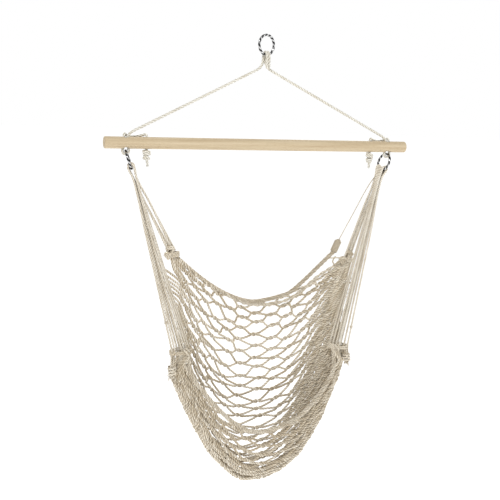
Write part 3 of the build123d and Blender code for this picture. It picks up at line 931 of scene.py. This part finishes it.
def build_ring(name, node, body, centre, normal, radius):
    """A ring of two plated wires twisted together and welded shut."""
    normal = unit(normal)
    a = unit(np.cross(normal, (0.3, 0.2, 1.0)))
    b = np.cross(normal, a)
    t = 2 * math.pi * np.arange(RING_STEPS) / RING_STEPS
    out = np.outer(np.cos(t), a) + np.outer(np.sin(t), b)
    phi = 2 * math.pi * np.arange(WIRE_STEPS) / WIRE_STEPS
    crest = np.abs(np.cos(phi))
    shape = WIRE_R * (0.88 + 0.30 * crest ** 0.8)
    verts = []
    faces = []
    for i in range(RING_STEPS):
        angle = phi + RING_TURNS * t[i]
        middle = np.asarray(centre) + out[i] * radius
        wire = np.outer(shape * np.cos(angle), out[i]) + np.outer(shape * np.sin(angle), normal)
        verts.append(middle + wire)
        here = i * WIRE_STEPS
        ahead = (i + 1) % RING_STEPS * WIRE_STEPS
        for k in range(WIRE_STEPS):
            after = (k + 1) % WIRE_STEPS
            faces.append((here + k, here + after, ahead + after, ahead + k))
    mesh = bpy.data.meshes.new(name)
    mesh.from_pydata(np.vstack(verts).tolist(), [], faces)
    # Where this value is low, between the wires, the steel material paints shade.
    point_values(mesh, "groove_shade", np.tile(crest, RING_STEPS))
    add_piece(name, mesh, STEEL, body, "plated_steel", node)


def build_rings():
    turn = HOOK_RING_TURN
    build_ring("hook_ring_wire", "hook_ring", "hook_ring", (0, 0, WIRE_R - HOOK_RING_R),
               (-math.sin(turn), math.cos(turn), 0), HOOK_RING_R)
    for side in (LEFT, RIGHT):
        centre = ring_point(side, 0, 0, SEAT_RING_R)
        normal = ring_point(side, 1.0, 0, 0) - ring_point(side, 0, 0, 0)
        build_ring(f"seat_ring_wire_{side['name']}", f"seat_ring_{side['name']}", f"ring_{side['name']}",
                   centre, normal, SEAT_RING_R)


# ---- stage, light and camera -----------------------------------------------------------
FLOOR_R = 60.0
FLOOR_CORNERS = 64
FLOOR_DROP = 0.40               # the floor lies this far below the seat
FLOOR_GLOW = 0.62               # enough to meet the white world at the horizon


def build_stage():
    """A wide plain floor, pale all the way to the horizon."""
    floor_z = float(CAD_BOX[0][2]) - FLOOR_DROP
    angles = np.linspace(0, 2 * math.pi, FLOOR_CORNERS, endpoint=False)
    rim = [(FLOOR_R * math.cos(a), FLOOR_R * math.sin(a), floor_z) for a in angles]
    mesh = bpy.data.meshes.new("studio_floor")
    mesh.from_pydata(rim, [], [list(range(FLOOR_CORNERS))])
    material, _, _, shader = new_material("studio_white")
    shader.inputs["Base Color"].default_value = (0.90, 0.90, 0.90, 1)
    shader.inputs["Roughness"].default_value = 0.9
    shader.inputs["Emission Color"].default_value = (1, 1, 1, 1)
    shader.inputs["Emission Strength"].default_value = FLOOR_GLOW
    mesh.materials.append(material)
    floor = bpy.data.objects.new("studio_floor", mesh)
    bpy.context.scene.collection.objects.link(floor)


SEAT_MIDDLE = (0, 0, -0.7)


def area_light(name, place, size, power):
    """A square lamp that faces the middle of the seat."""
    data = bpy.data.lights.new(name, "AREA")
    data.shape = "SQUARE"
    data.size = size
    data.energy = power
    lamp = bpy.data.objects.new(name, data)
    bpy.context.scene.collection.objects.link(lamp)
    back = unit(np.array(place) - np.array(SEAT_MIDDLE))
    side = unit(np.cross((0, 0.001, 1), back))
    up = np.cross(back, side)
    rows = [[side[k], up[k], back[k], place[k]] for k in range(3)]
    lamp.matrix_world = Matrix(rows + [[0, 0, 0, 1]])


def build_light():
    """Soft light from a dim white world and three lamps; the camera sees the world as white."""
    bpy.context.scene.view_settings.view_transform = "Standard"
    world = bpy.data.worlds.new("studio")
    bpy.context.scene.world = world
    world.use_nodes = True
    nodes = world.node_tree.nodes
    links = world.node_tree.links
    background = nodes["Background"]
    background.inputs["Color"].default_value = (1, 1, 1, 1)
    background.inputs["Strength"].default_value = 0.5
    seen = nodes.new("ShaderNodeBackground")
    seen.inputs["Color"].default_value = (1, 1, 1, 1)
    seen.inputs["Strength"].default_value = 1.0
    ray = nodes.new("ShaderNodeLightPath")
    choose = nodes.new("ShaderNodeMixShader")
    out = nodes["World Output"]
    links.new(ray.outputs["Is Camera Ray"], choose.inputs[0])
    links.new(background.outputs["Background"], choose.inputs[1])
    links.new(seen.outputs["Background"], choose.inputs[2])
    links.new(choose.outputs["Shader"], out.inputs["Surface"])
    area_light("key", (-1.6, -2.2, 2.2), 1.2, 62)
    area_light("fill", (2.4, -1.8, 0.3), 1.8, 18)
    area_light("rim", (1.2, 2.4, 1.8), 1.6, 26)


CAMERA_AZIMUTH = math.radians(22)
CAMERA_DISTANCE = 2.6
CAMERA_Z = -0.2037
CAMERA_YAW = math.radians(21.366)
CAMERA_PITCH = math.radians(8.556)
CAMERA_ROLL = math.radians(1.722)
CAMERA_LENS = 66.7


def build_camera():
    """Stands to the front and left, a little above the seat, and looks slightly down."""
    data = bpy.data.cameras.new("camera")
    data.sensor_width = 36.0
    data.lens = CAMERA_LENS
    camera = bpy.data.objects.new("camera", data)
    bpy.context.scene.collection.objects.link(camera)
    bpy.context.scene.camera = camera
    level = math.cos(CAMERA_PITCH)
    east = math.sin(CAMERA_YAW)
    north = math.cos(CAMERA_YAW)
    forward = np.array([east * level, north * level, -math.sin(CAMERA_PITCH)])
    flat = np.array([north, -east, 0.0])
    head = np.cross(flat, forward)
    right = flat * math.cos(CAMERA_ROLL) + head * math.sin(CAMERA_ROLL)
    up = head * math.cos(CAMERA_ROLL) - flat * math.sin(CAMERA_ROLL)
    place = (-CAMERA_DISTANCE * math.sin(CAMERA_AZIMUTH),
             -CAMERA_DISTANCE * math.cos(CAMERA_AZIMUTH), CAMERA_Z)
    rows = [[right[k], up[k], -forward[k], place[k]] for k in range(3)]
    camera.matrix_world = Matrix(rows + [[0, 0, 0, 1]])


def main():
    build_camera()
    build_stage()
    build_light()
    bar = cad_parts["spreader_bar"]
    bar.data.materials.clear()
    bar.data.materials.append(BEECH)
    build_rings()
    build_suspension()
    for side in (LEFT, RIGHT):
        build_clew(side)
        build_back_knot(side)
        build_front_knot(side)
        build_tie(side)
        build_side_rope(side)
    build_borders()
    build_sleeve()
    build_frays()
    build_net()


main()
